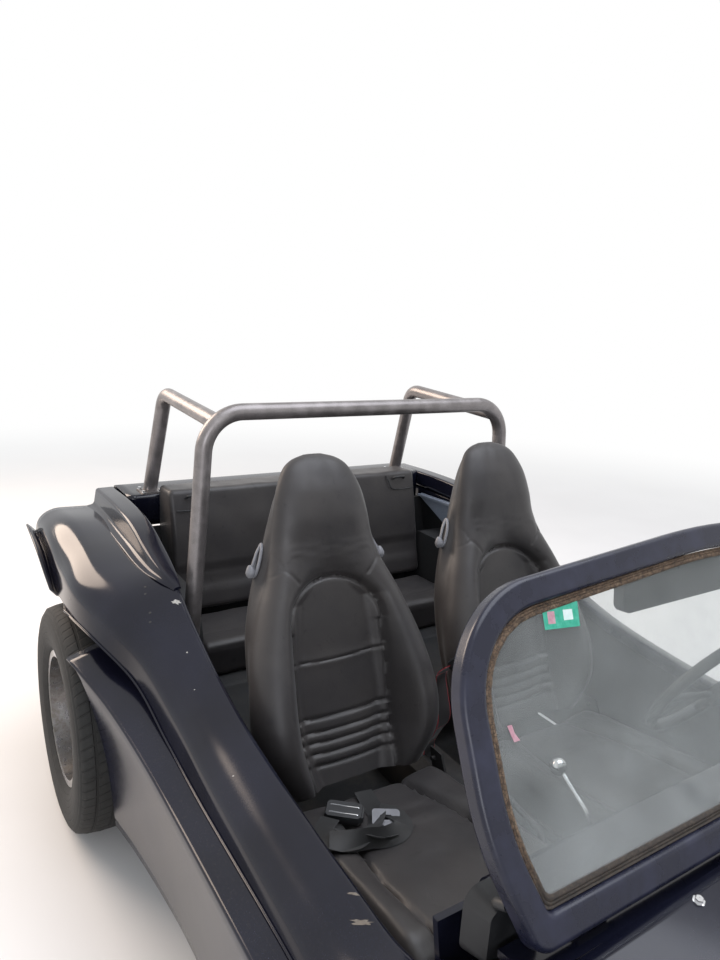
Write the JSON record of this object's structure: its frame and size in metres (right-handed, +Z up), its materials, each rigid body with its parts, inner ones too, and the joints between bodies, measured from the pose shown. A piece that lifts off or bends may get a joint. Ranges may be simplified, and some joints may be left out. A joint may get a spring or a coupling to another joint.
{
  "type": "dune buggy",
  "caption": "Open dune buggy with a moulded plastic body, roll cage, raked windscreen, leather bucket seats, rear bench and an open rear engine",
  "frame": {"origin": "on the ground midway between the axles, on the centre plane", "axes": "+X forward, +Y to the car's left, +Z up"},
  "size_m": [3.76, 1.838, 1.331],
  "materials": {
    "body_gelcoat": "gloss",
    "tub_black": "satin",
    "cage_paint": "satin",
    "frame_paint": "satin",
    "seal_rubber": "matte",
    "screen_glass": "gloss",
    "mirror_plastic": "satin",
    "seat_leather": "satin",
    "black_steel": "satin",
    "tyre_rubber": "matte",
    "rim_alloy": "satin",
    "engine_alloy": "satin",
    "chrome_trim": "gloss",
    "lamp_glass": "gloss",
    "lamp_red": "gloss",
    "plate_white": "satin"
  },
  "bodies": {
    "chassis": {"body_sides": "body_gelcoat", "side_pods": "body_gelcoat", "rear_deck": "body_gelcoat", "bonnet": "body_gelcoat", "nose_panel": "body_gelcoat", "cockpit_tub": "tub_black", "dashboard": "tub_black", "screen_frame": "frame_paint", "screen_seal": "seal_rubber", "screen_glass": "screen_glass", "interior_mirror": "mirror_plastic", "wing_mirrors": "mirror_plastic", "roll_cage": "cage_paint", "seat_cushions": "seat_leather", "seat_frames": "black_steel", "bench_cushions": "seat_leather", "bench_backs": "seat_leather", "steering_column": "black_steel", "pedals": "black_steel", "gear_lever": "chrome_trim", "handbrake": "black_steel", "front_beam": "black_steel", "rear_axle": "black_steel", "gearbox": "engine_alloy", "engine": "engine_alloy", "fan_shroud": "black_steel", "exhaust": "black_steel", "front_bumper": "cage_paint", "rear_bumper": "cage_paint", "plate_bracket": "plate_white", "headlamp_shells": "body_gelcoat", "headlamp_lenses": "lamp_glass", "tail_lamps": "lamp_red"},
    "seat_back_left": {"seat_back_left": "seat_leather"},
    "seat_back_right": {"seat_back_right": "seat_leather"},
    "steering": {"steering_wheel": "black_steel"},
    "knuckle_left": {"knuckle_left": "black_steel"},
    "knuckle_right": {"knuckle_right": "black_steel"},
    "wheel_front_left": {"rim_front_left": "rim_alloy", "tyre_front_left": "tyre_rubber"},
    "wheel_front_right": {"rim_front_right": "rim_alloy", "tyre_front_right": "tyre_rubber"},
    "wheel_rear_left": {"rim_rear_left": "rim_alloy", "tyre_rear_left": "tyre_rubber"},
    "wheel_rear_right": {"rim_rear_right": "rim_alloy", "tyre_rear_right": "tyre_rubber"}
  },
  "joints": [
    {"name": "steering_wheel_turn", "type": "hinge", "parent": "chassis", "child": "steering", "pos_m": [0.07, 0.325, 0.8], "axis": [-0.8829, 0, 0.4695], "range_deg": [-420, 420]},
    {"name": "steer_left", "type": "hinge", "parent": "chassis", "child": "knuckle_left", "pos_m": [1.2, 0.596, 0.322], "axis": [0, 0, 1], "range_deg": [-30, 30]},
    {"name": "spin_front_left", "type": "hinge", "parent": "knuckle_left", "child": "wheel_front_left", "pos_m": [1.2, 0.742, 0.322], "axis": [0, 1, 0], "continuous": true},
    {"name": "spin_rear_left", "type": "hinge", "parent": "chassis", "child": "wheel_rear_left", "pos_m": [-1.2, 0.803, 0.345], "axis": [0, 1, 0], "continuous": true},
    {"name": "tip_seat_left", "type": "hinge", "parent": "chassis", "child": "seat_back_left", "pos_m": [-0.42, 0.31, 0.425], "axis": [0, 1, 0], "range_deg": [0, 40]},
    {"name": "steer_right", "type": "hinge", "parent": "chassis", "child": "knuckle_right", "pos_m": [1.2, -0.596, 0.322], "axis": [0, 0, 1], "range_deg": [-30, 30]},
    {"name": "spin_front_right", "type": "hinge", "parent": "knuckle_right", "child": "wheel_front_right", "pos_m": [1.2, -0.742, 0.322], "axis": [0, 1, 0], "continuous": true},
    {"name": "spin_rear_right", "type": "hinge", "parent": "chassis", "child": "wheel_rear_right", "pos_m": [-1.2, -0.803, 0.345], "axis": [0, 1, 0], "continuous": true},
    {"name": "tip_seat_right", "type": "hinge", "parent": "chassis", "child": "seat_back_right", "pos_m": [-0.42, -0.31, 0.425], "axis": [0, 1, 0], "range_deg": [0, 40]}
  ],
  "couplings": [
    {"joint": "steer_left", "follows": "steering_wheel_turn", "ratio": 0.0714},
    {"joint": "steer_right", "follows": "steering_wheel_turn", "ratio": 0.0714}
  ]
}
